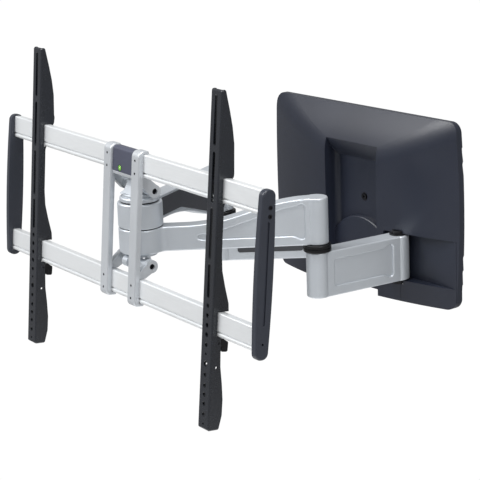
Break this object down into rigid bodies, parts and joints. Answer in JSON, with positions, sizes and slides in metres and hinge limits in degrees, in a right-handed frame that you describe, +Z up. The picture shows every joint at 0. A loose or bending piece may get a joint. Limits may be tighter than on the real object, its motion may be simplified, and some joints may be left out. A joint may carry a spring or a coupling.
{
  "type": "full motion television wall mount",
  "caption": "Wall mount that carries a television on two folding arms; the head slides out, swivels and tilts, and slotted uprights slide on rails.",
  "frame": {"origin": "centre of the wall plate's back face, on the wall, level with the middle of the cover", "axes": "+Z up, -Y out of the wall towards the viewer, +X to the right of someone who faces the mount"},
  "size_m": [0.6627, 0.4352, 0.4391],
  "materials": {
    "arm_silver": "satin silver powder coat",
    "bracket_silver": "satin silver powder coat",
    "rail_silver": "satin anodised",
    "end_grey": "satin grey powder coat",
    "cover_grey": "satin moulded plastic",
    "lid_dark": "fine moulded texture",
    "ring_black": "matt",
    "plate_black": "matt black powder coat",
    "upright_black": "satin black powder coat",
    "clamp_black": "glass-filled, matt",
    "steel": "zinc plated",
    "screw_dark": "black oxide",
    "centre_dark": "satin",
    "bezel_dark": "satin",
    "vial_green": "clear, liquid filled"
  },
  "bodies": {
    "wall": {"wall_plate": "plate_black", "pivot_bracket": "plate_black", "bracket_bolts": "steel", "wall_pivot_pins": "screw_dark", "wall_pivot_bushes": "ring_black", "access_cover_left": "cover_grey", "access_cover_right": "cover_grey", "wall_cover": "cover_grey", "cover_post": "steel", "cover_screw": "screw_dark"},
    "forearm_right": {"forearm_right": "arm_silver", "forearm_lid_right": "lid_dark", "elbow_pin_right": "steel", "elbow_ring_right": "ring_black"},
    "outer_arm_right": {"outer_arm_right": "arm_silver", "outer_lid_right": "lid_dark"},
    "hub_carrier": {"hub_sleeve": "steel", "hub_washer": "ring_black"},
    "swivel_neck": {"hub_spindle": "steel", "crown_washer": "ring_black", "crown_ring": "arm_silver", "neck": "arm_silver", "tilt_tube": "arm_silver", "lower_yoke": "arm_silver"},
    "screen_frame": {"bracket_right": "bracket_silver", "bracket_left": "bracket_silver", "upper_rail": "rail_silver", "lower_rail": "rail_silver", "end_cap_right": "end_grey", "end_cap_left": "end_grey", "bracket_screws": "screw_dark", "end_cap_screws": "screw_dark", "centre_cover": "centre_dark", "level_bezel": "bezel_dark", "level_vial": "vial_green", "centre_lip": "bracket_silver", "tilt_pin_upper": "screw_dark", "tilt_pin_lower": "screw_dark", "lower_spacers": "arm_silver"},
    "forearm_left": {"forearm_left": "arm_silver", "forearm_lid_left": "lid_dark", "elbow_pin_left": "steel", "elbow_ring_left": "ring_black"},
    "outer_arm_left": {"outer_arm_left": "arm_silver", "outer_lid_left": "lid_dark"},
    "upright_right": {"upright_right": "upright_black", "clamp_block_right": "clamp_black", "latch_pin_right": "screw_dark"},
    "knob_right": {"clamp_knob_right": "clamp_black"},
    "latch_right": {"latch_lever_right": "clamp_black"},
    "upright_left": {"upright_left": "upright_black", "clamp_block_left": "clamp_black", "latch_pin_left": "screw_dark"},
    "knob_left": {"clamp_knob_left": "clamp_black"},
    "latch_left": {"latch_lever_left": "clamp_black"}
  },
  "joints": [
    {"name": "fold", "type": "hinge", "parent": "wall", "child": "forearm_right", "pos_m": [0.0875, -0.0325, -0.0655], "axis": [0, 0, 1], "range_deg": [0, 55]},
    {"name": "right_elbow", "type": "hinge", "parent": "forearm_right", "child": "outer_arm_right", "pos_m": [0.0703, -0.16942, 0], "axis": [0, 0, 1], "range_deg": [-83, 0]},
    {"name": "hub_heading", "type": "hinge", "parent": "outer_arm_right", "child": "hub_carrier", "pos_m": [-0.0785, -0.359, 0], "axis": [0, 0, 1], "range_deg": [0, 28]},
    {"name": "swivel", "type": "hinge", "parent": "hub_carrier", "child": "swivel_neck", "pos_m": [-0.0785, -0.359, 0.04], "axis": [0, 0, 1], "range_deg": [-15, 10]},
    {"name": "tilt", "type": "hinge", "parent": "swivel_neck", "child": "screen_frame", "pos_m": [-0.0785, -0.359, 0.068], "axis": [0.9963, -0.0859, 0], "range_deg": [-6, 6]},
    {"name": "left_shoulder", "type": "hinge", "parent": "wall", "child": "forearm_left", "pos_m": [-0.0875, -0.0325, -0.0655], "axis": [0, 0, 1], "range_deg": [-32, 0]},
    {"name": "left_elbow", "type": "hinge", "parent": "forearm_left", "child": "outer_arm_left", "pos_m": [-0.17583, -0.13853, 0], "axis": [0, 0, 1], "range_deg": [0, 60]},
    {"name": "upright_slide_right", "type": "slide", "parent": "screen_frame", "child": "upright_right", "axis": [0.9963, -0.0859, 0], "range_m": [-0.12, 0.075]},
    {"name": "knob_turn_right", "type": "hinge", "parent": "upright_right", "child": "knob_right", "pos_m": [0.14532, -0.37652, 0.12821], "axis": [0.0855, 0.9917, -0.0958], "continuous": true},
    {"name": "latch_swing_right", "type": "hinge", "parent": "upright_right", "child": "latch_right", "pos_m": [0.14222, -0.41248, -0.09014], "axis": [0.9963, -0.0859, 0], "range_deg": [0, 24]},
    {"name": "upright_slide_left", "type": "slide", "parent": "screen_frame", "child": "upright_left", "axis": [0.9963, -0.0859, 0], "range_m": [-0.055, 0.12]},
    {"name": "knob_turn_left", "type": "hinge", "parent": "upright_left", "child": "knob_left", "pos_m": [-0.31965, -0.33641, 0.12821], "axis": [0.0855, 0.9917, -0.0958], "continuous": true},
    {"name": "latch_swing_left", "type": "hinge", "parent": "upright_left", "child": "latch_left", "pos_m": [-0.32275, -0.37237, -0.09014], "axis": [0.9963, -0.0859, 0], "range_deg": [0, 24]}
  ],
  "couplings": [
    {"joint": "right_elbow", "follows": "fold", "ratio": -1.5},
    {"joint": "hub_heading", "follows": "fold", "ratio": 0.5},
    {"joint": "left_shoulder", "follows": "fold", "ratio": -0.575},
    {"joint": "left_elbow", "follows": "fold", "ratio": 1.075}
  ]
}
